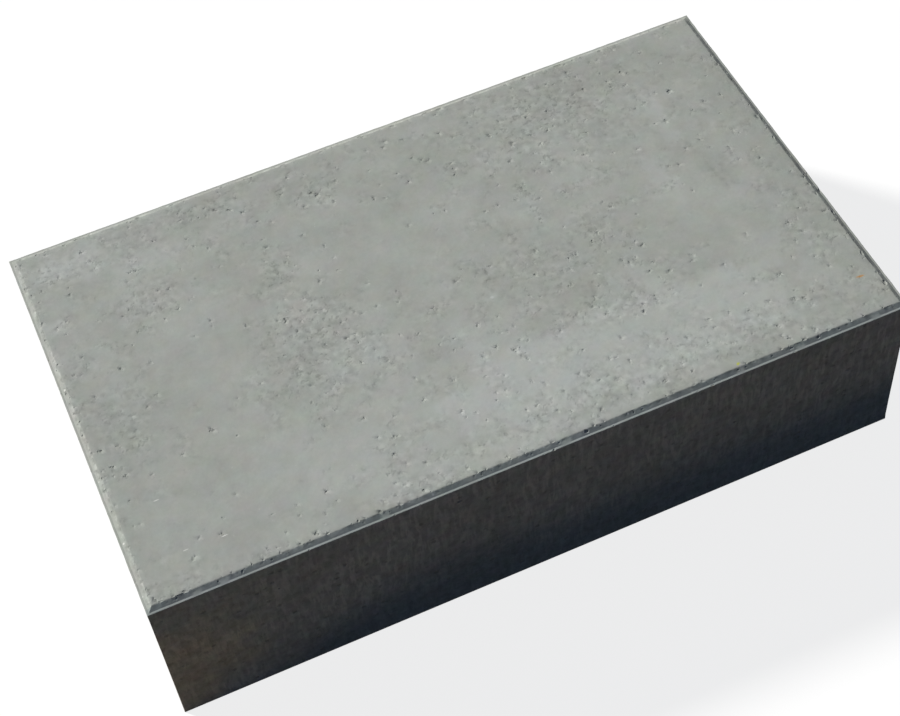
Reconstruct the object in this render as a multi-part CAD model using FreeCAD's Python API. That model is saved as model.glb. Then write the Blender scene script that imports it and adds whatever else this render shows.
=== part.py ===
import FreeCAD, Part
import os

# Precast concrete step block, cast as one piece.
#
# The block lies flat, as it does in a stair: X runs along the step, Y from
# the riser at the front to the back, Z up. The origin is the middle of the
# underside. All sizes are in millimetres.

# The block's overall sizes.
BLOCK_LENGTH = 600.0
BLOCK_DEPTH = 350.0
BLOCK_HEIGHT = 150.0

# The edge all round the tread: first a narrow flat lip, left where the
# mould's rim met the press plate, and then a low chamfer up to the tread.
LIP_WIDTH = 1.8
CHAMFER_WIDTH = 3.8
CHAMFER_RISE = 2.2

LIP_LEVEL = BLOCK_HEIGHT - CHAMFER_RISE
CROWN_INSET = LIP_WIDTH
TREAD_INSET = LIP_WIDTH + CHAMFER_WIDTH


def plan_rectangle(inset, level):
    """The block's outline on plan, drawn in by inset all round, at a level."""
    half_length = BLOCK_LENGTH / 2 - inset
    half_depth = BLOCK_DEPTH / 2 - inset
    corners = [
        FreeCAD.Vector(-half_length, -half_depth, level),
        FreeCAD.Vector(half_length, -half_depth, level),
        FreeCAD.Vector(half_length, half_depth, level),
        FreeCAD.Vector(-half_length, half_depth, level),
    ]
    return Part.makePolygon(corners + corners[:1])


def straight_sided_body():
    """The body from the underside up to the lip, with plain upright faces."""
    footprint = Part.Face(plan_rectangle(0.0, 0.0))
    return footprint.extrude(FreeCAD.Vector(0, 0, LIP_LEVEL))


def chamfered_crown():
    """The low crown on the body, whose four sloping sides are the chamfer."""
    foot = plan_rectangle(CROWN_INSET, LIP_LEVEL)
    tread = plan_rectangle(TREAD_INSET, BLOCK_HEIGHT)
    return Part.makeLoft([foot, tread], True, True)


def step_block():
    """The whole casting, one solid."""
    casting = straight_sided_body().fuse(chamfered_crown())
    return casting.removeSplitter().Solids[0]


def main():
    os.makedirs("parts", exist_ok=True)
    block = step_block()
    block.exportStep("parts/step_block.step")
    print("step_block", block.isValid(), round(block.Volume / 1e9, 6), "m3", len(block.Faces), "faces")


main()
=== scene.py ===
import math
import random

import bmesh
import bpy
from mathutils import Matrix, Quaternion, Vector, noise
from mathutils.bvhtree import BVHTree


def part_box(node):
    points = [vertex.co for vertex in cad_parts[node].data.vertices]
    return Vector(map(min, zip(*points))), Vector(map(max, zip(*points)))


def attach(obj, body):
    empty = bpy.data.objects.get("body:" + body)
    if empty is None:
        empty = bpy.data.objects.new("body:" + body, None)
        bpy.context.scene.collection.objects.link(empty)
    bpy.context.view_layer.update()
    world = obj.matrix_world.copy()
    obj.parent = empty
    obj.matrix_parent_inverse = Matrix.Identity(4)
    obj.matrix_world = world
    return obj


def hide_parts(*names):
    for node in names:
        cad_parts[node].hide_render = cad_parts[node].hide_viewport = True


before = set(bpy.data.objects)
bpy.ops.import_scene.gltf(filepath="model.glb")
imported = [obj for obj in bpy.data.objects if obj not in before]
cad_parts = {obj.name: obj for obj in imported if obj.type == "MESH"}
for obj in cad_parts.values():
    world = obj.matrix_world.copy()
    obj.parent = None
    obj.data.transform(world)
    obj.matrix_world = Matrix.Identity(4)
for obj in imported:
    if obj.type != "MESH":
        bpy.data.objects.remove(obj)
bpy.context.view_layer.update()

# ---------------------------------------------------------------- sizes, in metres

MM = 0.001                  # one millimetre
NODE = "step_block"


def cad_levels(axis):
    """The places along one axis where the block's corners lie, low to high."""
    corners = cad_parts[NODE].data.vertices
    return sorted({round(corner.co[axis], 6) for corner in corners})


LOW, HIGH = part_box(NODE)
LENGTH = HIGH.x - LOW.x
DEPTH = HIGH.y - LOW.y
HEIGHT = HIGH.z - LOW.z
ENDS_AT = cad_levels(0)
LIP_LEVEL = cad_levels(2)[1]
LIP_WIDTH = ENDS_AT[1] - ENDS_AT[0]
CHAMFER_WIDTH = ENDS_AT[2] - ENDS_AT[1]
CHAMFER_RISE = HEIGHT - LIP_LEVEL
TREAD_INSET = LIP_WIDTH + CHAMFER_WIDTH
LEFT, FRONT = LOW.x, LOW.y

OUTER_ARRIS = 0.5 * MM      # worn round on the lip, the upright corners and the foot
TREAD_ARRIS = 0.5 * MM      # worn round where the chamfer meets the tread
ARRIS_FLATS = 2             # small flats that round each arris
CELLS_ALONG = (88, 1)       # cuts that divide the long faces into small ones, pass by pass
CELLS_DEEP = (51, 1)
CELLS_HIGH = (22,)
LONG_EDGE = 2.5 * MM        # shorter edges aren't divided
TREAD_UNEVEN = 0.35 * MM    # most that the tread lies below its true plane, apart from its pits
SIDE_UNEVEN = 0.35 * MM     # the same for the upright faces, and for the marks of stripping
SIDE_DRAG = 0.30 * MM
RIM_WEAR = 0.5 * MM         # most that the lip and chamfer are worn back
FOOT_STRIP = 3 * MM         # height of the strip along the foot that stays true
SLIVER = 0.001 * MM         # edges up to this length are slivers left by cutting

ARRIS_SHADING = math.radians(26)    # the bend past which an arris shades crisp
PIT_SHADING = math.radians(50)      # the same for the rim of a pit
FLAT_SHADING = math.radians(3)      # and for the underside, whose faces are large and flat
UNDERSIDE_LEVEL = 0.01 * MM         # what lies lower belongs to the underside


# ---------------------------------------------------------------- working by hand

def drop_selection():
    if bpy.context.mode != "OBJECT":
        bpy.ops.object.mode_set(mode="OBJECT")
    bpy.ops.object.select_all(action="DESELECT")


def take(piece):
    """Makes one object the only selected and active one."""
    drop_selection()
    piece.select_set(True)
    bpy.context.view_layer.objects.active = piece


def pick(piece, faces=None, edges=None):
    """In edit mode, selects just the faces or the edges that a test accepts."""
    mesh = bmesh.from_edit_mesh(piece.data)
    for item in [*mesh.faces, *mesh.edges, *mesh.verts]:
        item.select_set(False)
    mesh.normal_update()
    chosen = mesh.faces if faces else mesh.edges
    test = faces or edges
    for item in [item for item in chosen if test(item)]:
        item.select_set(True)
    bmesh.update_edit_mesh(piece.data)


def apply_modifiers(piece):
    take(piece)
    for modifier in list(piece.modifiers):
        bpy.ops.object.modifier_apply(modifier=modifier.name)


def edge_runs(edge, axis):
    """True for an edge that runs along one axis."""
    run = edge.verts[1].co - edge.verts[0].co
    return abs(run[axis]) > 0.9 * run.length


def inset_of(point):
    """How far a point lies in from the nearest of the upright faces."""
    return min(LENGTH / 2 - abs(point.x), DEPTH / 2 - abs(point.y))


# ---------------------------------------------------------------- the casting

def plain_casting():
    """The block with its lip and chamfer, still with perfect faces."""
    drop_selection()
    bpy.ops.mesh.primitive_cube_add(
        size=1.0, location=(0, 0, LIP_LEVEL / 2), scale=(LENGTH, DEPTH, LIP_LEVEL)
    )
    casting = bpy.context.object
    casting.name = "step_block_casting"
    casting.data.name = casting.name
    bpy.ops.object.transform_apply(location=True, rotation=False, scale=True)
    bpy.ops.object.mode_set(mode="EDIT")
    bpy.ops.mesh.select_mode(type="FACE")
    pick(casting, faces=lambda face: face.normal.z > 0.9)
    bpy.ops.mesh.inset(thickness=LIP_WIDTH, depth=0.0)
    bpy.ops.mesh.inset(thickness=CHAMFER_WIDTH, depth=CHAMFER_RISE)
    bpy.ops.object.mode_set(mode="OBJECT")
    return casting


def is_outer_arris(edge):
    """The upright corners, the lip's outer edge and the edge at the foot."""
    low, high = sorted(vert.co.z for vert in edge.verts)
    outside = all(
        abs(vert.co.x) > LENGTH / 2 - LIP_WIDTH / 2 and abs(vert.co.y) > DEPTH / 2 - LIP_WIDTH / 2
        for vert in edge.verts
    )
    return outside and (high - low > LIP_LEVEL / 2 or low > LIP_LEVEL / 2 or high < LIP_LEVEL / 2)


def is_tread_arris(edge):
    return all(vert.co.z > HEIGHT - CHAMFER_RISE / 2 for vert in edge.verts)


def round_arrises(casting):
    take(casting)
    bpy.ops.object.mode_set(mode="EDIT")
    bpy.ops.mesh.select_mode(type="EDGE")
    pick(casting, edges=is_outer_arris)
    bpy.ops.mesh.bevel(offset=OUTER_ARRIS, segments=ARRIS_FLATS, affect="EDGES")
    pick(casting, edges=is_tread_arris)
    bpy.ops.mesh.bevel(offset=TREAD_ARRIS, segments=ARRIS_FLATS, affect="EDGES")
    bpy.ops.object.mode_set(mode="OBJECT")


def divide_faces(casting):
    """Divides the long faces into small ones, and leaves the underside whole."""
    take(casting)
    bpy.ops.object.mode_set(mode="EDIT")
    bpy.ops.mesh.select_mode(type="EDGE")
    for axis, passes in enumerate((CELLS_ALONG, CELLS_DEEP, CELLS_HIGH)):
        for cuts in passes:
            pick(
                casting,
                edges=lambda edge: edge_runs(edge, axis) and edge.calc_length() > LONG_EDGE,
            )
            bpy.ops.mesh.subdivide(number_cuts=cuts, quadcorner="STRAIGHT_CUT")
    bpy.ops.mesh.select_mode(type="FACE")
    pick(casting, faces=lambda face: face.normal.z < -0.999)
    bpy.ops.mesh.dissolve_faces()
    bpy.ops.object.mode_set(mode="OBJECT")


# ---------------------------------------------------------------- wear and relief

def mark_zones(casting):
    """Vertex groups for the faces that the mould and the press left different."""
    tread_level = HEIGHT - 0.1 * MM
    side_top = LIP_LEVEL - 2 * MM
    side_inset = OUTER_ARRIS + 0.1 * MM
    zones = {"tread": [], "formed_sides": [], "rim": []}
    for vert in casting.data.vertices:
        above_foot = vert.co.z > FOOT_STRIP
        if vert.co.z > tread_level:
            zones["tread"].append(vert.index)
        elif inset_of(vert.co) < side_inset and above_foot and vert.co.z < side_top:
            zones["formed_sides"].append(vert.index)
        elif above_foot:
            zones["rim"].append(vert.index)
    for name, members in zones.items():
        casting.vertex_groups.new(name=name).add(members, 1.0, "REPLACE")


# Relief, laid on in turn: zone, name, depth, size of the hollows, how finely they break up, and
# how far they are drawn out upright.
RELIEFS = [
    ("tread", "tread_waves", TREAD_UNEVEN * 0.7, 60 * MM, 2, 1),
    ("tread", "tread_ripples", TREAD_UNEVEN * 0.3, 9 * MM, 1, 1),
    ("formed_sides", "side_waves", SIDE_UNEVEN, 70 * MM, 2, 1),
    ("formed_sides", "side_drag", SIDE_DRAG, 5 * MM, 2, 7),
    ("rim", "rim_wear", RIM_WEAR, 6 * MM, 3, 1),
]


def sink(casting, zone, name, depth, size, octaves, drawn_out):
    """Sinks a zone of the casting by up to depth, in cloudy hollows of a size."""
    texture = bpy.data.textures.new(name, "CLOUDS")
    texture.noise_scale = size
    texture.noise_depth = octaves
    bpy.ops.object.empty_add(location=(0, 0, 0))
    ruler = bpy.context.object
    ruler.scale = (1, 1, drawn_out)
    modifier = casting.modifiers.new(name, "DISPLACE")
    modifier.texture = texture
    modifier.texture_coords = "OBJECT"
    modifier.texture_coords_object = ruler
    modifier.vertex_group = zone
    modifier.mid_level = 0.0
    modifier.strength = -depth
    apply_modifiers(casting)
    bpy.data.objects.remove(ruler)


def press_and_strip(casting):
    """The shallow unevenness that pressing and stripping leave on each face."""
    mark_zones(casting)
    for relief in RELIEFS:
        sink(casting, *relief)


# ---------------------------------------------------------------- pits and chips

class Face:
    """One face of the block: where it is, and how far it runs."""

    def __init__(self, corner, across, up, size):
        self.corner = Vector(corner)
        self.across = Vector(across)
        self.up = Vector(up)
        self.width, self.height = size
        self.out = self.across.cross(self.up)

    def point(self, x, y, out=0.0):
        return self.corner + self.across * x + self.up * y + self.out * out

    def axes(self):
        return Matrix((self.across, self.up, self.out)).transposed().to_4x4()


TREAD = Face((LEFT, FRONT, HEIGHT), (1, 0, 0), (0, 1, 0), (LENGTH, DEPTH))
RISER = Face((LEFT, FRONT, 0), (1, 0, 0), (0, 0, 1), (LENGTH, LIP_LEVEL))
BACK = Face((-LEFT, -FRONT, 0), (-1, 0, 0), (0, 0, 1), (LENGTH, LIP_LEVEL))
LEFT_END = Face((LEFT, -FRONT, 0), (0, -1, 0), (0, 0, 1), (DEPTH, LIP_LEVEL))
RIGHT_END = Face((-LEFT, FRONT, 0), (0, 1, 0), (0, 0, 1), (DEPTH, LIP_LEVEL))
UNDERSIDE = Face((LEFT, -FRONT, 0), (1, 0, 0), (0, -1, 0), (LENGTH, DEPTH))

# Areas where the tread pressed more open than elsewhere, or, below zero, closed up smoother:
# from the left end, from the riser, half-width and half-depth in millimetres, and by how much.
OPEN_AREAS = [
    (190, 165, 42, 48, 0.75),
    (88, 258, 22, 15, 0.8),
    (183, 240, 11, 17, 0.9),
    (243, 304, 15, 13, 1.0),
    (35, 165, 34, 42, 0.3),
    (110, 325, 95, 24, 0.3),
    (435, 300, 72, 46, 0.45),
    (380, 160, 90, 42, 0.25),
    (400, 95, 60, 12, 0.5),
    (400, 28, 150, 22, 0.5),
    (212, 13, 24, 12, 0.8),
    (575, 90, 20, 80, 0.2),
    (20, 12, 30, 12, 0.5),
    (265, 225, 75, 48, -0.3),
    (110, 200, 45, 36, -0.35),
    (90, 58, 85, 42, -0.25),
    (500, 140, 34, 40, -0.35),
    (95, 130, 28, 55, -0.25),
]
# Single pits that stand out: from the left end, from the riser, and radius, in millimetres.
LONE_PITS = [
    (244, 302, 1.9), (240, 306, 1.3), (427, 302, 1.3), (483, 310, 1.2), (544, 275, 1.6),
    (446, 185, 0.9), (449, 139, 1.4), (304, 125, 1.2), (424, 88, 1.2), (435, 87, 0.9),
    (12, 143, 1.5), (16, 126, 1.2), (22, 114, 1.0), (92, 124, 1.4), (174, 319, 1.4),
    (183, 312, 1.3), (83, 293, 0.9), (88, 293, 0.8), (54, 330, 1.1), (9, 8, 1.9),
    (128, 9, 1.6), (210, 9, 1.3), (353, 16, 1.6), (533, 40, 1.2), (308, 100, 1.1),
]
# Pits in each upright face and in the underside.
SIDE_PITS = [(RISER, 200), (BACK, 130), (LEFT_END, 75), (RIGHT_END, 75), (UNDERSIDE, 110)]
# Rows of chips round the block: which punch cuts them, counted from 0, inset, level, and, in
# millimetres, how far apart they are, their usual radius and their largest.
CHIP_ROWS = [
    (2, TREAD_INSET, HEIGHT, 9, 0.9, 2.2),
    (3, TREAD_INSET * 0.65, LIP_LEVEL + CHAMFER_RISE * 0.4, 20, 0.8, 1.6),
    (1, 0.3 * MM, LIP_LEVEL, 40, 0.7, 1.5),
]
TREAD_TRIES = 1450            # places tried on the tread; fewer are kept where it is closed
CORNER_CLEAR = 8 * MM         # chips keep this far from the upright corners
EVEN_OPENNESS = 0.34          # the tread's openness, apart from its areas and drifts
OPEN_DRIFTS = [(0.55, 16, 0.0), (0.25, 6, 9.0)]    # how strong, size in millimetres, and seed
RIM_OPENNESS = 0.9            # how crumbly the lip and chamfer are, on the scale of openness()
RADIUS_SPREAD = 0.38          # how far pits of one kind differ in radius
LUMP_UNEVEN = 0.3             # how uneven a lump is, as a share of its radius
LUMP_LIFT = 0.6               # how far its middle stands off the face, of its half-thickness
LUMP_ROOM = 1.7               # how much room it keeps from its neighbours, in radii
SMALL_RADIUS = 0.55 * MM      # up to here a pit is cut by a lump of fewer faces
SEARCH_CELL = 12 * MM         # taken places are looked up in cells of this size
# Painted shade in the pits grows with their depth, up to this depth.
FULL_PIT_SHADE_DEPTH = 0.4 * MM        # the depth from which a pit's floor is at its darkest


def sunk(ground, face, x, y):
    """How far the casting's uneven surface lies behind one of its true faces."""
    stand_off = 5 * MM
    hit = ground.ray_cast(face.point(x, y, stand_off), -face.out)
    return hit[3] - stand_off if hit[3] else 0.0


def make_lump(name, seed, fineness):
    """One uneven rounded lump, a metre in radius until it is sized, for cutting pits."""
    drop_selection()
    bpy.ops.mesh.primitive_ico_sphere_add(subdivisions=fineness, radius=1.0, location=(0, 0, 0))
    lump = bpy.context.object
    lump.name = name
    bpy.ops.object.mode_set(mode="EDIT")
    bpy.ops.mesh.select_all(action="SELECT")
    bpy.ops.transform.vertex_random(offset=LUMP_UNEVEN, seed=seed)
    bpy.ops.object.mode_set(mode="OBJECT")
    return lump


class Punch:
    """Lumps that don't touch each other, gathered so that one cut makes all their pits."""

    def __init__(self, name, lumps, ground):
        self.name = name
        self.lumps = lumps
        self.ground = ground
        self.mesh = bmesh.new()
        self.taken = {}

    def cell(self, place):
        return tuple(math.floor(value / SEARCH_CELL) for value in place)

    def is_free(self, place, radius):
        x, y, z = self.cell(place)
        for dx in (-1, 0, 1):
            for dy in (-1, 0, 1):
                for dz in (-1, 0, 1):
                    for other, reach in self.taken.get((x + dx, y + dy, z + dz), ()):
                        if (other - place).length < reach + radius:
                            return False
        return True

    def add(self, face, x, y, radius, depth, rng, stretch=1.0, lean=None):
        """Sets one lump into a face, deep enough to leave a shallow pit, if nothing is in its way."""
        thickness = depth / (1 - LUMP_LIFT)
        place = face.point(x, y, LUMP_LIFT * thickness - sunk(self.ground, face, x, y))
        reach = radius * LUMP_ROOM * max(1.0, stretch)
        if not self.is_free(place, reach):
            return False
        self.taken.setdefault(self.cell(place), []).append((place, reach))
        small, large = self.lumps
        lump = rng.choice(small if radius < SMALL_RADIUS else large)
        angle = rng.uniform(0, math.tau) if lean is None else lean
        turn = Matrix.Rotation(angle, 4, "Z")
        across = radius / math.sqrt(1 - LUMP_LIFT**2)
        along = across * rng.uniform(0.6, 1.0) * stretch
        size = Matrix.Diagonal((across, along, thickness, 1.0))
        stamp = lump.data.copy()
        stamp.transform(Matrix.Translation(place) @ face.axes() @ turn @ size)
        self.mesh.from_mesh(stamp)
        bpy.data.meshes.remove(stamp)
        return True

    def cut(self, casting):
        data = bpy.data.meshes.new(self.name)
        self.mesh.to_mesh(data)
        self.mesh.free()
        punch = bpy.data.objects.new(self.name, data)
        bpy.context.scene.collection.objects.link(punch)
        take(punch)
        bpy.ops.object.mode_set(mode="EDIT")
        bpy.ops.mesh.select_all(action="SELECT")
        bpy.ops.mesh.normals_make_consistent(inside=False)
        bpy.ops.object.mode_set(mode="OBJECT")
        modifier = casting.modifiers.new(self.name, "BOOLEAN")
        modifier.operation = "DIFFERENCE"
        modifier.solver = "MANIFOLD"
        modifier.object = punch
        apply_modifiers(casting)
        bpy.data.objects.remove(punch)


def openness(x, y):
    """How open the tread is at a place in millimetres: 0 is closed and smooth, and 1 crumbly."""
    total = EVEN_OPENNESS
    for at, up, half_width, half_depth, gain in OPEN_AREAS:
        across, deep = (x - at) / half_width, (y - up) / half_depth
        total += gain * math.exp(-(across * across + deep * deep))
    for gain, size, seed in OPEN_DRIFTS:
        total += gain * noise.noise(Vector((x, y, seed)) / size)
    return min(1.0, max(0.0, total))


def pit_radius(rng, usual, largest):
    """Most pits are near the usual size, and a few are large."""
    return min(usual * math.exp(rng.gauss(0, RADIUS_SPREAD)), largest) * MM


def pit_group(punches, face, x, y, radius, rng, hollow=(0.14, 0.32), company=(0, 1, 1, 2, 3)):
    """A pit with up to three smaller ones run into it, each cut by its own punch.

    Hollow is how deep the pits are for their radius, and company how many may join the first.
    """
    depth = radius * rng.uniform(*hollow)
    if not punches[0].add(face, x, y, radius, depth, rng, stretch=rng.choice((1, 1, 1.5))):
        return
    for punch in punches[1:1 + rng.choice(company)]:
        angle = rng.uniform(0, math.tau)
        step = radius * rng.uniform(0.75, 1.3)
        beside = radius * rng.uniform(0.5, 0.9)
        at = x + step * math.cos(angle)
        up = y + step * math.sin(angle)
        punch.add(face, at, up, beside, beside * rng.uniform(*hollow), rng)


def pit_tread(punches, rng):
    for x, y, radius in LONE_PITS:
        pit_group(
            punches, TREAD, x * MM, y * MM, radius * MM, rng, hollow=(0.26, 0.42), company=(2, 3)
        )
    margin = 0.5 * MM
    for _ in range(TREAD_TRIES):
        at = rng.uniform(TREAD_INSET + margin, LENGTH - TREAD_INSET - margin)
        up = rng.uniform(TREAD_INSET + margin, DEPTH - TREAD_INSET - margin)
        if rng.random() < openness(at / MM, up / MM):
            pit_group(punches, TREAD, at, up, pit_radius(rng, usual=0.8, largest=1.6), rng)


def pit_side(punch, face, rng, count):
    """Pits on a face that the mould formed, some of them drawn out upright."""
    end_margin, foot_margin, head_margin = 4 * MM, 6 * MM, 5 * MM
    for _ in range(count):
        at = rng.uniform(end_margin, face.width - end_margin)
        up = rng.uniform(foot_margin, face.height - head_margin)
        radius = pit_radius(rng, usual=0.8, largest=1.8)
        stretch = rng.choice((1.0, 1.0, 1.6, 2.4))
        depth = radius * rng.uniform(0.2, 0.45)
        punch.add(face, at, up, radius, depth, rng, stretch, lean=rng.uniform(-0.2, 0.2))


def chip_arris(punch, rng, inset, level, every, usual, largest):
    """Small chips out of one edge that runs round the block, so far in and so high up."""
    plan = Face((LEFT, FRONT, level), (1, 0, 0), (0, 1, 0), (LENGTH, DEPTH))
    for run, fall, lean in ((LENGTH, DEPTH, math.pi / 2), (DEPTH, LENGTH, 0.0)):
        for out in (inset, fall - inset):
            for _ in range(round(run / MM / every)):
                along = rng.uniform(CORNER_CLEAR, run - CORNER_CLEAR)
                x, y = (along, out) if lean else (out, along)
                radius = pit_radius(rng, usual, largest)
                depth = radius * rng.uniform(0.25, 0.5)
                stretch = rng.uniform(1.0, 2.4)
                turn = lean + rng.uniform(-0.3, 0.3)
                punch.add(plan, x, y, radius, depth, rng, stretch, turn)


def pit_casting(casting, ground):
    small = [make_lump(f"small_lump_{seed}", seed, 1) for seed in (1, 2, 3)]
    large = [make_lump(f"large_lump_{seed}", seed, 2) for seed in (4, 5, 6, 7)]
    rng = random.Random(7)
    punches = [Punch(f"pit_punch_{number}", (small, large), ground) for number in (1, 2, 3, 4)]
    pit_tread(punches, rng)
    for face, count in SIDE_PITS:
        pit_side(punches[0], face, rng, count)
    for number, *row in CHIP_ROWS:
        chip_arris(punches[number], rng, *row)
    for punch in punches:
        punch.cut(casting)
    for lump in small + large:
        bpy.data.objects.remove(lump)


def close_up(casting):
    """Welds the slivers that the cuts leave, and divides every face so that the mesh stays closed."""
    take(casting)
    bpy.ops.object.mode_set(mode="EDIT")
    bpy.ops.mesh.select_mode(type="VERT")
    bpy.ops.mesh.select_all(action="SELECT")
    bpy.ops.mesh.remove_doubles(threshold=SLIVER)
    bpy.ops.mesh.select_all(action="SELECT")
    bpy.ops.mesh.dissolve_degenerate(threshold=SLIVER)
    bpy.ops.mesh.select_all(action="SELECT")
    bpy.ops.mesh.quads_convert_to_tris(quad_method="BEAUTY", ngon_method="BEAUTY")
    bpy.ops.object.mode_set(mode="OBJECT")


def mark_texture(casting, ground):
    """Records on the mesh, for the finish, how open the tread is, how deep its pits are for their
    painted shade, and its rim.
    """
    mesh = casting.data
    for name in ("open_texture", "pit_shade_depth", "worn_rim"):
        mesh.attributes.new(name, "FLOAT", "POINT")
    openness_layer = mesh.attributes["open_texture"]
    pit_shade_layer = mesh.attributes["pit_shade_depth"]
    rim_layer = mesh.attributes["worn_rim"]
    for vert in mesh.vertices:
        if vert.co.z < LIP_LEVEL:
            continue
        open_here = openness((vert.co.x - LEFT) / MM, (vert.co.y - FRONT) / MM)
        inset = inset_of(vert.co)
        if inset < TREAD_INSET:
            open_here = max(open_here, RIM_OPENNESS)
            rim_layer.data[vert.index].value = 1.0
        openness_layer.data[vert.index].value = open_here
        # The pit's depth, which the tread's material turns into painted shade.
        if inset > TREAD_INSET + TREAD_ARRIS:
            level = HEIGHT - sunk(ground, TREAD, vert.co.x - LEFT, vert.co.y - FRONT)
            pit_shade_layer.data[vert.index].value = min(1.0, max(0.0, (level - vert.co.z) / FULL_PIT_SHADE_DEPTH))


def soften_shading(casting):
    """Shades the pits softly, and keeps the block's own arrises and the flat underside crisp."""

    def is_crisp(edge):
        bend = edge.calc_face_angle(0.0)
        if all(vert.co.z < UNDERSIDE_LEVEL for vert in edge.verts):
            return bend > FLAT_SHADING
        inset = min(inset_of(vert.co) for vert in edge.verts)
        return inset < TREAD_INSET + TREAD_ARRIS and bend > ARRIS_SHADING

    take(casting)
    bpy.ops.object.mode_set(mode="EDIT")
    bpy.ops.mesh.select_mode(type="EDGE")
    pick(casting, edges=is_crisp)
    bpy.ops.mesh.mark_sharp()
    bpy.ops.object.mode_set(mode="OBJECT")
    bpy.ops.object.shade_smooth_by_angle(angle=PIT_SHADING, keep_sharp_edges=True)


# ---------------------------------------------------------------- building materials from nodes

def feed(tree, socket, value):
    """Gives a socket a number or a colour, or links another node's output to it."""
    if isinstance(value, bpy.types.NodeSocket):
        tree.links.new(value, socket)
    else:
        socket.default_value = value


def add_node(tree, kind, settings=(), **values):
    """Adds a node with its settings, and feeds its inputs by name."""
    made = tree.nodes.new(kind)
    for key, value in dict(settings).items():
        setattr(made, key, value)
    for key, value in values.items():
        feed(tree, made.inputs[key], value)
    return made


def maths(tree, operation, first, second=0.0, clamp=False):
    made = tree.nodes.new("ShaderNodeMath")
    made.operation = operation
    made.use_clamp = clamp
    for socket, value in zip(made.inputs, (first, second)):
        feed(tree, socket, value)
    return made.outputs[0]


def vector_maths(tree, operation, *values):
    made = tree.nodes.new("ShaderNodeVectorMath")
    made.operation = operation
    for socket, value in zip(made.inputs, values):
        feed(tree, socket, value)
    return made.outputs["Value" if operation == "LENGTH" else "Vector"]


def ramp(tree, value, low, high, to_low=0.0, to_high=1.0, smooth=True):
    """Carries low..high over to to_low..to_high, with soft ends."""
    made = tree.nodes.new("ShaderNodeMapRange")
    made.interpolation_type = "SMOOTHSTEP" if smooth else "LINEAR"
    ends = {"From Min": low, "From Max": high, "To Min": to_low, "To Max": to_high}
    for name, given in {"Value": value, **ends}.items():
        feed(tree, made.inputs[name], given)
    return made.outputs["Result"]


def blend_colour(tree, factor, first, second, mode="MIX"):
    made = tree.nodes.new("ShaderNodeMix")
    made.data_type = "RGBA"
    made.blend_type = mode
    factor_at, first_at, second_at, result_at = 0, 6, 7, 2    # the sockets of a colour mix
    feed(tree, made.inputs[factor_at], factor)
    feed(tree, made.inputs[first_at], first)
    feed(tree, made.inputs[second_at], second)
    return made.outputs[result_at]


def stain(tree, colour, finish, mask, share):
    """Lays a finish over a colour where a mask says, at a share of full strength."""
    return blend_colour(tree, maths(tree, "MULTIPLY", mask, share), colour, finish)


def vary(tree, colour, value, low, high, deepest, palest):
    """Multiplies a colour by deepest..palest as a value goes from low to high."""
    tone = ramp(tree, value, low, high, deepest, palest, smooth=False)
    return blend_colour(tree, 1.0, colour, tone, "MULTIPLY")


def new_group(name, inputs, outputs):
    """A shader node group with named inputs and outputs, and its two end nodes' sockets."""
    tree = bpy.data.node_groups.new(name, "ShaderNodeTree")
    kinds = {"vector": "NodeSocketVector", "value": "NodeSocketFloat", "colour": "NodeSocketColor"}
    for label, kind, value in inputs:
        socket = tree.interface.new_socket(label, in_out="INPUT", socket_type=kinds[kind])
        if value is not None:
            socket.default_value = value
    for label, kind in outputs:
        tree.interface.new_socket(label, in_out="OUTPUT", socket_type=kinds[kind])
    start = tree.nodes.new("NodeGroupInput").outputs
    end = tree.nodes.new("NodeGroupOutput").inputs
    return tree, start, end


def use_group(tree, group, **values):
    """Places a group in a tree, feeds its inputs by name, and gives back its outputs."""
    made = tree.nodes.new("ShaderNodeGroup")
    made.node_tree = group
    for key, value in values.items():
        feed(tree, made.inputs[key.replace("_", " ").title()], value)
    return made.outputs


def noise_value(tree, position, size, detail=2.0, roughness=0.5):
    """Cloudy noise of a size in metres, about 0.5."""
    if isinstance(size, bpy.types.NodeSocket):
        scale = maths(tree, "DIVIDE", 1.0, size)
    else:
        scale = 1.0 / size
    made = add_node(
        tree, "ShaderNodeTexNoise", Vector=position, Scale=scale, Detail=detail, Roughness=roughness
    )
    return made.outputs["Fac"]


def cement_tone_group():
    """Cement drying in clouds, with smaller flecks over them."""
    tree, start, end = new_group(
        "cement_tone",
        [
            ("Position", "vector", None),
            ("Deep Tone", "colour", None),
            ("Pale Tone", "colour", None),
            ("Cloud Size", "value", 0.09),
            ("Fleck Size", "value", 0.009),
            ("Fleck Share", "value", 0.5),
        ],
        [("Colour", "colour"), ("Fleck", "value")],
    )
    clouds = noise_value(tree, start["Position"], start["Cloud Size"], 3.0, 0.55)
    flecks = noise_value(tree, start["Position"], start["Fleck Size"], 3.0, 0.6)
    cloud_part = ramp(tree, clouds, 0.3, 0.7, smooth=False)
    fleck_part = ramp(tree, flecks, 0.3, 0.7, smooth=False)
    factor = add_node(tree, "ShaderNodeMix", {"data_type": "FLOAT"})
    tree.links.new(start["Fleck Share"], factor.inputs[0])
    tree.links.new(cloud_part, factor.inputs[2])
    tree.links.new(fleck_part, factor.inputs[3])
    colour = blend_colour(tree, factor.outputs[0], start["Deep Tone"], start["Pale Tone"])
    tree.links.new(colour, end["Colour"])
    tree.links.new(fleck_part, end["Fleck"])
    return tree


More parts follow.
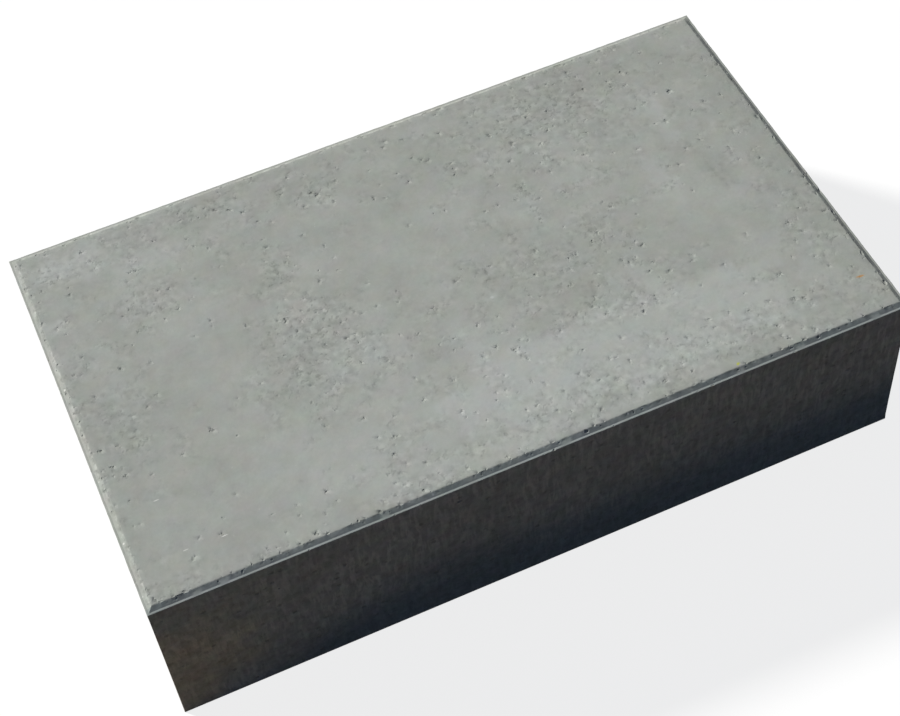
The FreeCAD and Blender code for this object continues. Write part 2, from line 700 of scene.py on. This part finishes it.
def bloom_patch_group():
    """A pale lime bloom, soft and ragged at its edge, round one place."""
    tree, start, end = new_group(
        "bloom_patch",
        [
            ("Position", "vector", None),
            ("Centre", "vector", None),
            ("Half Size", "vector", (0.1, 0.1, 0.1)),
            ("Raggedness", "value", 0.5),
            ("Rag Size", "value", 0.03),
            ("Softness", "value", 0.5),
        ],
        [("Mask", "value")],
    )
    offset = vector_maths(tree, "SUBTRACT", start["Position"], start["Centre"])
    reach = vector_maths(tree, "LENGTH", vector_maths(tree, "DIVIDE", offset, start["Half Size"]))
    rag = noise_value(tree, start["Position"], start["Rag Size"], 3.0, 0.55)
    rag = maths(tree, "SUBTRACT", rag, 0.5)
    rag = maths(tree, "MULTIPLY", rag, start["Raggedness"])
    ragged = maths(tree, "ADD", reach, rag)
    inner = maths(tree, "SUBTRACT", 1.0, start["Softness"])
    mask = ramp(tree, ragged, inner, 1.0, 1.0, 0.0)
    tree.links.new(mask, end["Mask"])
    return tree


def pore_field_group():
    """Fine open pores, some crowded and some apart: where they are, and how deep."""
    tree, start, end = new_group(
        "pore_field",
        [
            ("Position", "vector", None),
            ("Spacing", "value", 0.003),
            ("Pore Radius", "value", 0.3),
            ("Share", "value", 0.3),
            ("Crowd Size", "value", 0.03),
        ],
        [("Mask", "value"), ("Depth", "value")],
    )
    scale = maths(tree, "DIVIDE", 1.0, start["Spacing"])
    wobble = add_node(tree, "ShaderNodeTexNoise", Vector=start["Position"], Scale=380.0, Detail=2.0)
    wobble_reach = (0.0028, 0.0028, 0.0028)
    shifted = vector_maths(
        tree, "MULTIPLY_ADD", wobble.outputs["Color"], wobble_reach, start["Position"]
    )
    cells = add_node(tree, "ShaderNodeTexVoronoi", Vector=shifted, Scale=scale)
    parts = add_node(tree, "ShaderNodeSeparateColor", Color=cells.outputs["Color"])
    crowd = noise_value(tree, start["Position"], start["Crowd Size"], 2.0)
    crowd = ramp(tree, crowd, 0.35, 0.65, 0.25, 1.75, smooth=False)
    share = maths(tree, "MULTIPLY", start["Share"], crowd)
    present = maths(tree, "LESS_THAN", parts.outputs["Red"], share)
    own_size = ramp(tree, parts.outputs["Green"], 0.0, 1.0, 0.45, 1.0, smooth=False)
    radius = maths(tree, "MULTIPLY", start["Pore Radius"], own_size)
    core = maths(tree, "MULTIPLY", radius, 0.35)
    hole = ramp(tree, cells.outputs["Distance"], core, radius, 1.0, 0.0)
    mask = maths(tree, "MULTIPLY", hole, present)
    tree.links.new(mask, end["Mask"])
    depth = maths(tree, "MULTIPLY", mask, own_size)
    tree.links.new(depth, end["Depth"])
    return tree


def drag_mark_group():
    """Upright smears that the mould leaves as it is lifted off."""
    tree, start, end = new_group(
        "drag_marks",
        [
            ("Position", "vector", None),
            ("Width", "value", 0.002),
            ("Length", "value", 0.02),
        ],
        [("Smear", "value"), ("Height", "value")],
    )
    parts = add_node(tree, "ShaderNodeSeparateXYZ", Vector=start["Position"])
    squeeze = maths(tree, "DIVIDE", start["Width"], start["Length"])
    lowered = maths(tree, "MULTIPLY", parts.outputs["Z"], squeeze)
    lean_size, lean_reach = 0.03, 0.006
    lean = noise_value(tree, start["Position"], lean_size, 1.0)
    lean = maths(tree, "MULTIPLY", lean, lean_reach)
    leaned_x = maths(tree, "ADD", parts.outputs["X"], lean)
    leaned_y = maths(tree, "ADD", parts.outputs["Y"], lean)
    drawn = add_node(tree, "ShaderNodeCombineXYZ", X=leaned_x, Y=leaned_y, Z=lowered)
    streaks = noise_value(tree, drawn.outputs[0], start["Width"], 3.0, 0.6)
    smear = ramp(tree, streaks, 0.45, 0.62)
    tree.links.new(smear, end["Smear"])
    tree.links.new(streaks, end["Height"])
    return tree


def sand_grain_group():
    """The sandy fine texture of the paste, and the odd pale grain of sand."""
    tree, start, end = new_group(
        "sand_grain",
        [
            ("Position", "vector", None),
            ("Grain Size", "value", 0.0012),
            ("Pale Share", "value", 0.02),
        ],
        [("Height", "value"), ("Tone", "value"), ("Pale Grain", "value")],
    )
    sand = noise_value(tree, start["Position"], start["Grain Size"], 3.0, 0.65)
    tree.links.new(sand, end["Height"])
    tone = ramp(tree, sand, 0.25, 0.75, smooth=False)
    tree.links.new(tone, end["Tone"])
    spacing = 0.0045
    cells = add_node(tree, "ShaderNodeTexVoronoi", Vector=start["Position"], Scale=1 / spacing)
    parts = add_node(tree, "ShaderNodeSeparateColor", Color=cells.outputs["Color"])
    present = maths(tree, "LESS_THAN", parts.outputs["Blue"], start["Pale Share"])
    grain = ramp(tree, cells.outputs["Distance"], 0.1, 0.28, 1.0, 0.0)
    tree.links.new(maths(tree, "MULTIPLY", grain, present), end["Pale Grain"])
    return tree


def open_texture_group():
    """Crumbly ground where the paste didn't close: ragged hollows a millimetre or two across."""
    tree, start, end = new_group(
        "open_ground",
        [
            ("Position", "vector", None),
            ("Openness", "value", 0.5),
            ("Hollow Size", "value", 0.0024),
        ],
        [("Mask", "value"), ("Depth", "value")],
    )
    ground = ramp(tree, start["Openness"], 0.1, 0.9)
    hollows = noise_value(tree, start["Position"], start["Hollow Size"], 1.0, 0.5)
    hollow = ramp(tree, hollows, 0.55, 0.74)
    depth = maths(tree, "MULTIPLY", hollow, ground)
    tree.links.new(ground, end["Mask"])
    tree.links.new(depth, end["Depth"])
    return tree


def hue_drift_group():
    """Drifts a grey a little towards blue in some places and towards green in others."""
    tree, start, end = new_group(
        "hue_drift",
        [
            ("Position", "vector", None),
            ("Colour", "colour", None),
            ("Drift Size", "value", 0.014),
            ("Amount", "value", 0.03),
        ],
        [("Colour", "colour")],
    )
    scale = maths(tree, "DIVIDE", 1.0, start["Drift Size"])
    drift = add_node(
        tree, "ShaderNodeTexNoise",
        Vector=start["Position"], Scale=scale, Detail=3.0, Roughness=0.6,
    )
    parts = add_node(tree, "ShaderNodeSeparateColor", Color=drift.outputs["Color"])
    shares = {}
    for name in ("Red", "Green", "Blue"):
        swing = maths(tree, "SUBTRACT", parts.outputs[name], 0.5)
        shares[name] = maths(tree, "ADD", maths(tree, "MULTIPLY", swing, start["Amount"]), 1.0)
    tint = add_node(tree, "ShaderNodeCombineColor", **shares)
    colour = blend_colour(tree, 1.0, start["Colour"], tint.outputs[0], "MULTIPLY")
    tree.links.new(colour, end["Colour"])
    return tree


GROUPS = {
    "open": open_texture_group(),
    "hue": hue_drift_group(),
    "tone": cement_tone_group(),
    "bloom": bloom_patch_group(),
    "pores": pore_field_group(),
    "drag": drag_mark_group(),
    "sand": sand_grain_group(),
}


def new_material(name):
    material = bpy.data.materials.new(name)
    material.use_nodes = True
    tree = material.node_tree
    tree.nodes.clear()
    position = add_node(tree, "ShaderNodeTexCoord").outputs["Object"]
    shader = add_node(tree, "ShaderNodeBsdfPrincipled")
    output = add_node(tree, "ShaderNodeOutputMaterial")
    tree.links.new(shader.outputs[0], output.inputs["Surface"])
    shader.inputs["Specular IOR Level"].default_value = 0.1
    return material, tree, position, shader


def finish_surface(tree, shader, colour, roughness, height, relief):
    bump = add_node(tree, "ShaderNodeBump", Height=height, Distance=relief, Strength=1.0)
    tree.links.new(colour, shader.inputs["Base Color"])
    tree.links.new(roughness, shader.inputs["Roughness"])
    tree.links.new(bump.outputs["Normal"], shader.inputs["Normal"])


# Colours are linear. The paste is a greenish grey, and lime bloom a paler, bluer one.
PASTE_DEEP = (0.300, 0.314, 0.289, 1)
PASTE_PALE = (0.366, 0.382, 0.358, 1)
PASTE_SHADE = (0.27, 0.284, 0.256, 1)
BLOOM = (0.425, 0.448, 0.432, 1)
# Painted shade for the inside of pores, hollows and pits.
PORE_SHADE = (0.09, 0.095, 0.085, 1)
PALE_GRAIN = (0.56, 0.57, 0.54, 1)
SIDE_DEEP = (0.205, 0.207, 0.190, 1)
SIDE_PALE = (0.325, 0.325, 0.302, 1)
SIDE_EVEN = (0.27, 0.278, 0.259, 1)
SMEAR = (0.44, 0.43, 0.392, 1)
RUST = (0.42, 0.24, 0.11, 1)
MOSS = (0.42, 0.44, 0.10, 1)
# A tint multiplies the colour under it.
# Painted shade: the lip and chamfer along the riser, tinted darker and bluer as they turn from the
# key light.
CHAMFER_SHADE_TINT = (0.83, 0.87, 0.91, 1)
# Painted shade near the ground, with some dampness: the foot of the riser darker and bluer.
DAMP_AND_SHADE_TINT = (0.51, 0.61, 0.72, 1)
# Painted warm bounce light, on the left end of the riser.
WARM_BOUNCE_TINT = (1.26, 1.14, 0.97, 1)


def place(x, y, z=HEIGHT / MM):
    """A place measured in millimetres from the left end and the riser."""
    return (LEFT + x * MM, FRONT + y * MM, z * MM)


# Blooms on the tread: centre, half-size, raggedness, size of the rags, softness and strength.
BLOOMS = [
    ((390, 60), (170, 46), 1.0, 24, 0.3, 0.45),
    ((310, 70), (42, 80), 1.5, 22, 0.5, 0.25),
    ((205, 138), (36, 26), 1.2, 22, 0.8, 0.32),
    ((225, 18), (40, 18), 1.2, 20, 0.8, 0.3),
    ((290, 100), (26, 34), 1.2, 22, 0.8, 0.28),
    ((300, 16), (100, 20), 1.3, 20, 0.8, 0.25),
    ((125, 80), (46, 30), 1.4, 22, 0.9, 0.15),
    ((524, 250), (10, 50), 1.6, 18, 0.8, 0.28),
    ((496, 185), (16, 46), 1.6, 20, 0.8, 0.3),
    ((40, 322), (52, 22), 2.0, 20, 0.7, 0.55),
    ((100, 300), (50, 16), 2.0, 22, 0.9, 0.3),
    ((16, 266), (13, 11), 1.0, 12, 0.8, 0.55),
    ((190, 55), (110, 55), 1.8, 26, 0.8, 0.3),
]
# Shaded areas of the tread, laid out in the same way, where the paste dried darker.
SHADES = [
    ((592, 170), (44, 200), 1.2, 30, 0.7, 0.45),
    ((470, 330), (110, 50), 1.6, 34, 0.9, 0.3),
    ((430, 150), (110, 50), 1.6, 34, 0.8, 0.25),
    ((75, 150), (60, 60), 1.4, 30, 0.9, 0.2),
    ((345, 290), (95, 36), 1.4, 30, 0.9, 0.25),
    ((262, 330), (24, 22), 1.2, 24, 0.9, 0.3),
    ((18, 152), (26, 52), 1.2, 26, 0.8, 0.4),
    ((540, 180), (24, 26), 1.2, 22, 0.9, 0.55),
    ((555, 310), (50, 36), 1.3, 26, 0.9, 0.32),
    ((565, 18), (44, 20), 1.2, 22, 0.8, 0.35),
    ((500, 120), (32, 30), 1.2, 22, 0.9, 0.3),
]
# Small stains and stuck grains on the tread: centre, half-size and finish.
SPECKS = [
    ((581, 39), (4.2, 1.3), RUST),
    ((460, 8), (1.8, 1.6), MOSS),
    ((35, 85), (3.2, 0.6), PALE_GRAIN),
    ((70, 36), (3.2, 0.6), PALE_GRAIN),
    ((41, 37), (2.6, 0.6), PALE_GRAIN),
    ((325, 145), (2.4, 1.8), BLOOM),
]


def patch_mask(tree, position, centre, half, raggedness, rag_size, softness):
    """Where a ragged patch of the tread lies. Its sizes are in millimetres."""
    patch_height = 0.1    # far more than the tread's relief, so that it doesn't thin the patch
    return use_group(
        tree, GROUPS["bloom"], position=position, centre=place(*centre),
        half_size=(half[0] * MM, half[1] * MM, patch_height),
        raggedness=raggedness, rag_size=rag_size * MM, softness=softness,
    )["Mask"]


def lay_patches(tree, position, colour, patches, finish):
    """Lays ragged patches of one finish over a colour."""
    for *shape, strength in patches:
        colour = stain(tree, colour, finish, patch_mask(tree, position, *shape), strength)
    return colour


def coordinate(tree, position, axis):
    return add_node(tree, "ShaderNodeSeparateXYZ", Vector=position).outputs[axis]


def near_front(tree, position, full, gone, rest=0.0):
    """1 up to a distance behind the riser's plane, falling to rest at another."""
    return ramp(tree, coordinate(tree, position, "Y"), FRONT + full, FRONT + gone, 1.0, rest)


def recorded(tree, name):
    """What mark_texture wrote on the mesh under a name."""
    return add_node(tree, "ShaderNodeAttribute", {"attribute_name": name}).outputs["Fac"]


def tread_material():
    material, tree, position, shader = new_material("pressed_tread")
    tone = use_group(
        tree, GROUPS["tone"], position=position, deep_tone=PASTE_DEEP, pale_tone=PASTE_PALE,
        cloud_size=0.04, fleck_size=0.0095, fleck_share=0.35,
    )
    colour = lay_patches(tree, position, tone["Colour"], BLOOMS, BLOOM)
    colour = lay_patches(tree, position, colour, SHADES, PASTE_SHADE)
    colour = use_group(
        tree, GROUPS["hue"], position=position, colour=colour, drift_size=0.016, amount=0.12
    )["Colour"]
    openness = recorded(tree, "open_texture")
    ground = use_group(
        tree, GROUPS["open"], position=position, openness=openness, hollow_size=0.0036
    )
    # Painted shade in hollows: the open ground a little darker, and its hollows darker by their
    # depth.
    colour = stain(tree, colour, PORE_SHADE, ground["Mask"], share=0.035)
    colour = stain(tree, colour, PORE_SHADE, ground["Depth"], share=0.23)
    mottle = noise_value(tree, position, 0.0055, 3.0)
    mottled = vary(tree, colour, mottle, 0.3, 0.7, deepest=0.83, palest=1.17)
    colour = blend_colour(tree, ground["Mask"], colour, mottled)
    # Painted shade in the pits, darker the deeper they are.
    colour = stain(tree, colour, PORE_SHADE, recorded(tree, "pit_shade_depth"), share=0.28)
    sand = use_group(tree, GROUPS["sand"], position=position, grain_size=0.003, pale_share=0.07)
    colour = vary(tree, colour, sand["Tone"], 0.0, 1.0, deepest=0.97, palest=1.03)
    colour = blend_colour(tree, sand["Pale Grain"], colour, PALE_GRAIN)
    # Painted shade: the lip and chamfer along the riser are tinted darker and bluer, as they turn
    # from the key light.
    shaded_front_rim = near_front(tree, position, full=TREAD_INSET - 1.0 * MM, gone=TREAD_INSET)
    colour = blend_colour(tree, shaded_front_rim, colour, CHAMFER_SHADE_TINT, "MULTIPLY")
    rim = recorded(tree, "worn_rim")
    crumbs = noise_value(tree, position, 0.0042, 4.0, 0.65)
    crumbly = vary(tree, colour, crumbs, 0.36, 0.64, deepest=0.78, palest=1.25)
    colour = blend_colour(tree, rim, colour, crumbly)
    for centre, half, finish in SPECKS:
        speck = patch_mask(
            tree, position, centre, half, raggedness=1.4, rag_size=2, softness=0.7
        )
        colour = blend_colour(tree, speck, colour, finish)
    grain_relief, hollow_relief, crumb_relief = 0.15, 0.2, 0.2
    height = maths(tree, "MULTIPLY", sand["Height"], grain_relief)
    hollows = maths(tree, "MULTIPLY", ground["Depth"], hollow_relief)
    height = maths(tree, "SUBTRACT", height, hollows)
    rim_crumbs = maths(tree, "MULTIPLY", crumbs, maths(tree, "MULTIPLY", rim, crumb_relief))
    height = maths(tree, "ADD", height, rim_crumbs)
    roughness = ramp(tree, tone["Fleck"], 0.0, 1.0, 0.95, 0.85, smooth=False)
    finish_surface(tree, shader, colour, roughness, height, 0.6 * MM)
    return material


def damp_and_shaded_foot(tree, position):
    """How far up the riser is painted darker and bluer: painted shade near the ground, with some
    dampness; low at its left end and higher along the rest.
    """
    low_edge, high_edge, fade = 18 * MM, 84 * MM, 62 * MM
    rag_size, rag_reach = 0.02, 0.03
    along = coordinate(tree, position, "X")
    edge = ramp(tree, along, LEFT + 30 * MM, LEFT + 190 * MM, low_edge, high_edge)
    rag = maths(tree, "SUBTRACT", noise_value(tree, position, rag_size, 3.0, 0.6), 0.5)
    edge = maths(tree, "ADD", edge, maths(tree, "MULTIPLY", rag, rag_reach))
    below = maths(tree, "SUBTRACT", edge, coordinate(tree, position, "Z"))
    foot = ramp(tree, below, 0.0, fade)
    on_riser = near_front(tree, position, full=3 * MM, gone=30 * MM, rest=0.2)
    return maths(tree, "MULTIPLY", foot, on_riser)


def warm_bounce_end(tree, position):
    """Painted warm bounce light: a paler, warmer patch at the left end of the riser."""
    mask = use_group(
        tree, GROUPS["bloom"], position=position, centre=(LEFT, FRONT, 60 * MM),
        half_size=(90 * MM, 30 * MM, 110 * MM), raggedness=1.2, rag_size=0.03, softness=0.75,
    )["Mask"]
    on_riser = near_front(tree, position, full=0.6 * MM, gone=5 * MM)
    return maths(tree, "MULTIPLY", mask, on_riser)


def by_face(tree, riser, elsewhere, on_riser):
    """One value on the riser and another on the faces that are cleaner and calmer."""
    return ramp(tree, riser, 0.0, 1.0, elsewhere, on_riser, smooth=False)


def side_material():
    material, tree, position, shader = new_material("formed_side")
    tone = use_group(
        tree, GROUPS["tone"], position=position, deep_tone=SIDE_DEEP, pale_tone=SIDE_PALE,
        cloud_size=0.05, fleck_size=0.008, fleck_share=0.75,
    )
    drag = use_group(tree, GROUPS["drag"], position=position, width=0.0038, length=0.02)
    riser = near_front(tree, position, full=3 * MM, gone=34 * MM)
    even = blend_colour(tree, riser, SIDE_EVEN, tone["Colour"])
    base = blend_colour(tree, 0.35, even, tone["Colour"])
    damp_and_shade = damp_and_shaded_foot(tree, position)
    smear = maths(tree, "MULTIPLY", drag["Smear"], by_face(tree, riser, 0.16, 0.55))
    smear_fade_at_foot = ramp(tree, damp_and_shade, 0.0, 1.0, 1.0, 0.5, smooth=False)
    smear = maths(tree, "MULTIPLY", smear, smear_fade_at_foot)
    streaky = noise_value(tree, position, 0.05, 2.0)
    streaky = ramp(tree, streaky, 0.35, 0.65, 0.5, 1.25, smooth=False)
    colour = stain(tree, base, SMEAR, smear, streaky)
    # Painted warm bounce light: the left end of the riser paler and warmer.
    colour = blend_colour(tree, warm_bounce_end(tree, position), colour, WARM_BOUNCE_TINT, "MULTIPLY")
    # Painted shade, with some dampness: the riser darker and bluer towards the ground.
    colour = blend_colour(tree, damp_and_shade, colour, DAMP_AND_SHADE_TINT, "MULTIPLY")
    colour = use_group(
        tree, GROUPS["hue"], position=position, colour=colour, drift_size=0.012,
        amount=by_face(tree, riser, 0.1, 0.25),
    )["Colour"]
    sand = use_group(tree, GROUPS["sand"], position=position, grain_size=0.0034, pale_share=0.012)
    deepest = ramp(tree, riser, 0.0, 1.0, 0.94, 0.85)
    palest = ramp(tree, riser, 0.0, 1.0, 1.06, 1.15)
    colour = vary(tree, colour, sand["Tone"], 0.0, 1.0, deepest, palest)
    pores = use_group(
        tree, GROUPS["pores"], position=position, spacing=0.0075, pore_radius=0.34, share=0.24,
        crowd_size=0.04,
    )
    # Painted shade inside the pores, stronger on the riser.
    colour = stain(tree, colour, PORE_SHADE, pores["Mask"], by_face(tree, riser, 0.3, 0.45))
    grain_relief = 0.35
    height = maths(tree, "MULTIPLY", drag["Height"], by_face(tree, riser, 0.35, 1.0))
    grains = maths(tree, "MULTIPLY", sand["Height"], grain_relief)
    height = maths(tree, "ADD", grains, height)
    height = maths(tree, "SUBTRACT", height, pores["Depth"])
    roughness = ramp(tree, tone["Fleck"], 0.0, 1.0, 0.97, 0.88, smooth=False)
    finish_surface(tree, shader, colour, roughness, height, 0.5 * MM)
    return material


def dress(casting):
    """The tread, lip and chamfer are pressed, and the upright faces and underside formed."""
    casting.data.materials.clear()
    casting.data.materials.append(tread_material())
    casting.data.materials.append(side_material())
    for polygon in casting.data.polygons:
        polygon.material_index = 0 if polygon.center.z > LIP_LEVEL - 0.6 * MM else 1


# ---------------------------------------------------------------- the studio

def make_camera():
    """Looks down on the block from the front and left, turned a little on its own axis."""
    azimuth, downward, roll = math.radians(18.91), math.radians(53.34), math.radians(-6.06)
    aim = Vector(place(273.2, 106.7))
    distance, lens = 1.390, 75.1
    level = math.cos(downward)
    forward = Vector(
        (math.sin(azimuth) * level, math.cos(azimuth) * level, -math.sin(downward))
    )
    camera = bpy.data.objects.new("camera", bpy.data.cameras.new("camera"))
    bpy.context.scene.collection.objects.link(camera)
    camera.data.lens = lens
    camera.location = aim - forward * distance
    camera.rotation_mode = "QUATERNION"
    camera.rotation_quaternion = forward.to_track_quat("-Z", "Y") @ Quaternion((0, 0, 1), roll)
    bpy.context.scene.camera = camera


def make_key_light():
    """A broad, low key light from behind the block's left end."""
    towards = Vector((-0.95, 1.05, 0.90)).normalized()
    lamp = bpy.data.lights.new("key", "SUN")
    lamp.energy = 5.3
    lamp.angle = math.radians(7)
    lamp.color = (1.0, 0.978, 0.931)
    key = bpy.data.objects.new("key", lamp)
    bpy.context.scene.collection.objects.link(key)
    key.rotation_mode = "QUATERNION"
    key.rotation_quaternion = towards.to_track_quat("Z", "Y")


def seen_directly(tree):
    """1 for what the camera sees, straight or through a reflection, and 0 for light on the object."""
    path = add_node(tree, "ShaderNodeLightPath").outputs
    seen = maths(tree, "ADD", path["Is Camera Ray"], path["Is Glossy Ray"])
    return maths(tree, "ADD", seen, path["Is Transmission Ray"], clamp=True)


def make_room():
    """A weak, cool light from all round; the camera sees it white."""
    world = bpy.data.worlds.new("room")
    bpy.context.scene.world = world
    world.use_nodes = True
    tree = world.node_tree
    tree.nodes.clear()
    dim = add_node(tree, "ShaderNodeBackground", Color=(0.58, 0.71, 1.0, 1), Strength=0.149)
    white = add_node(tree, "ShaderNodeBackground", Color=(1, 1, 1, 1), Strength=1.0)
    mixed = add_node(tree, "ShaderNodeMixShader")
    tree.links.new(seen_directly(tree), mixed.inputs[0])
    tree.links.new(dim.outputs[0], mixed.inputs[1])
    tree.links.new(white.outputs[0], mixed.inputs[2])
    output = add_node(tree, "ShaderNodeOutputWorld")
    tree.links.new(mixed.outputs[0], output.inputs["Surface"])


def make_floor():
    """A pale floor that keeps the block's shadow and throws little light back.

    It lies just below the underside, so that the two don't share a plane.
    """
    width, level = 30.0, -0.1 * MM
    bpy.ops.mesh.primitive_plane_add(size=width, location=(0, 0, level))
    floor = bpy.context.object
    floor.name = "floor"
    material = bpy.data.materials.new("floor_paper")
    material.use_nodes = True
    tree = material.node_tree
    tree.nodes.clear()
    dull = add_node(tree, "ShaderNodeBsdfDiffuse", Color=(0.18, 0.15, 0.115, 1))
    shaded = add_node(tree, "ShaderNodeBsdfDiffuse", Color=(0.2, 0.2, 0.2, 1))
    glow = add_node(tree, "ShaderNodeEmission", Color=(1, 1, 1, 1), Strength=0.82)
    pale = add_node(tree, "ShaderNodeAddShader")
    tree.links.new(shaded.outputs[0], pale.inputs[0])
    tree.links.new(glow.outputs[0], pale.inputs[1])
    mixed = add_node(tree, "ShaderNodeMixShader")
    tree.links.new(seen_directly(tree), mixed.inputs[0])
    tree.links.new(dull.outputs[0], mixed.inputs[1])
    tree.links.new(pale.outputs[0], mixed.inputs[2])
    output = add_node(tree, "ShaderNodeOutputMaterial")
    tree.links.new(mixed.outputs[0], output.inputs["Surface"])
    floor.data.materials.append(material)


# ---------------------------------------------------------------- making it

drop_selection()
make_camera()
make_key_light()
make_room()
make_floor()

casting = plain_casting()
round_arrises(casting)
divide_faces(casting)
press_and_strip(casting)
ground = BVHTree.FromObject(casting, bpy.context.evaluated_depsgraph_get())
pit_casting(casting, ground)
close_up(casting)
mark_texture(casting, ground)
dress(casting)
soften_shading(casting)

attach(casting, "root")
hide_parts(NODE)

bpy.context.scene.view_settings.view_transform = "Standard"
